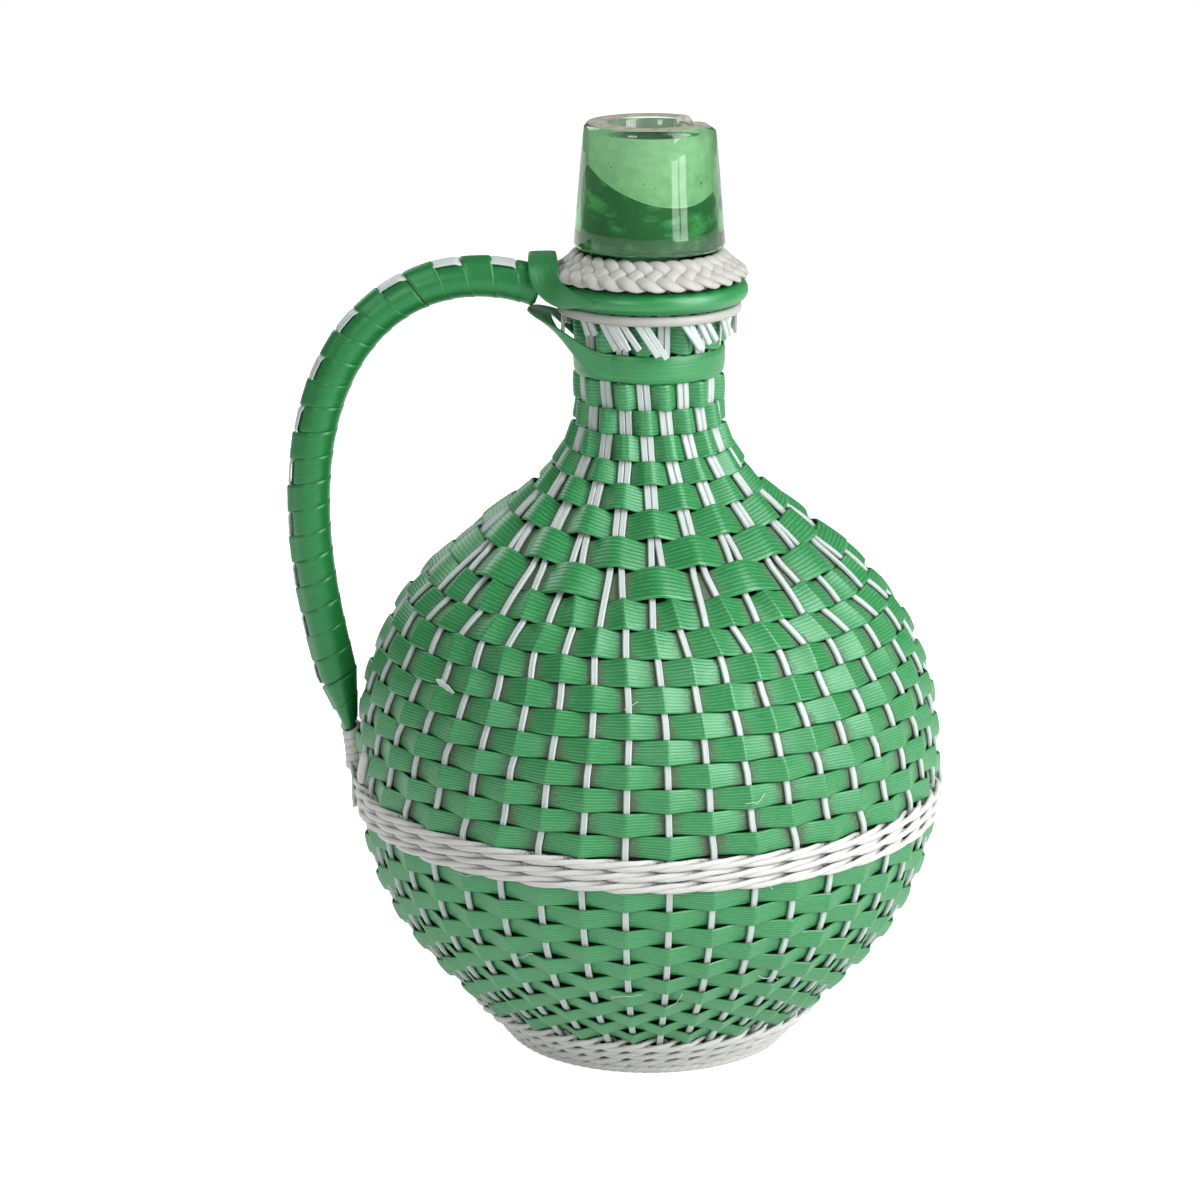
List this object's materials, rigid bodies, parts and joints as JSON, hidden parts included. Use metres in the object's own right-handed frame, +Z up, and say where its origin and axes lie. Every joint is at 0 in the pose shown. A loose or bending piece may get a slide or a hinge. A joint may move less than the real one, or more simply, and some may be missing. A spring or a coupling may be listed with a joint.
{
  "type": "demijohn",
  "caption": "Round-bellied green glass demijohn with a thick conical collar, in a woven green and white jacket with a wrapped carrying handle.",
  "frame": {"origin": "centre of the woven base's flat underside, on the bottle's axis", "axes": "+Z up along the bottle's axis; -X towards the handle; -Y towards the front"},
  "size_m": [0.2543, 0.2314, 0.3547],
  "materials": {
    "green_glass": "smooth, clear dark green",
    "green_ribbon": "satin, finely ribbed along its length",
    "white_strand": "satin, finely ribbed along its length",
    "grey_core": "dusty"
  },
  "bodies": {
    "root": {"glass_bottle": "green_glass", "weft_lower": "green_ribbon", "weft_upper": "green_ribbon", "neck_band": "green_ribbon", "neck_weft": "green_ribbon", "neck_ring_green": "green_ribbon", "handle_wrap": "green_ribbon", "handle_tie": "green_ribbon", "base_disc": "white_strand", "base_band": "white_strand", "belly_band": "white_strand", "neck_ring_white": "white_strand", "neck_braid": "white_strand", "handle_strip": "white_strand", "handle_lashing": "white_strand", "stake_01": "white_strand", "stake_02": "white_strand", "stake_03": "white_strand", "stake_04": "white_strand", "stake_05": "white_strand", "stake_06": "white_strand", "stake_07": "white_strand", "stake_08": "white_strand", "stake_09": "white_strand", "stake_10": "white_strand", "stake_11": "white_strand", "stake_12": "white_strand", "stake_13": "white_strand", "stake_14": "white_strand", "stake_15": "white_strand", "stake_16": "white_strand", "stake_17": "white_strand", "stake_18": "white_strand", "stake_19": "white_strand", "stake_20": "white_strand", "stake_21": "white_strand", "stake_22": "white_strand", "stake_23": "white_strand", "stake_24": "white_strand", "stake_25": "white_strand", "stake_26": "white_strand", "stake_27": "white_strand", "stake_28": "white_strand", "stake_29": "white_strand", "stake_30": "white_strand", "stake_31": "white_strand", "stake_32": "white_strand", "stake_33": "white_strand", "stake_34": "white_strand", "stake_35": "white_strand", "stake_36": "white_strand", "stake_37": "white_strand", "stake_38": "white_strand", "stake_39": "white_strand", "stake_40": "white_strand", "stake_41": "white_strand", "stake_42": "white_strand", "stake_43": "white_strand", "handle_core": "grey_core"}
  },
  "joints": []
}
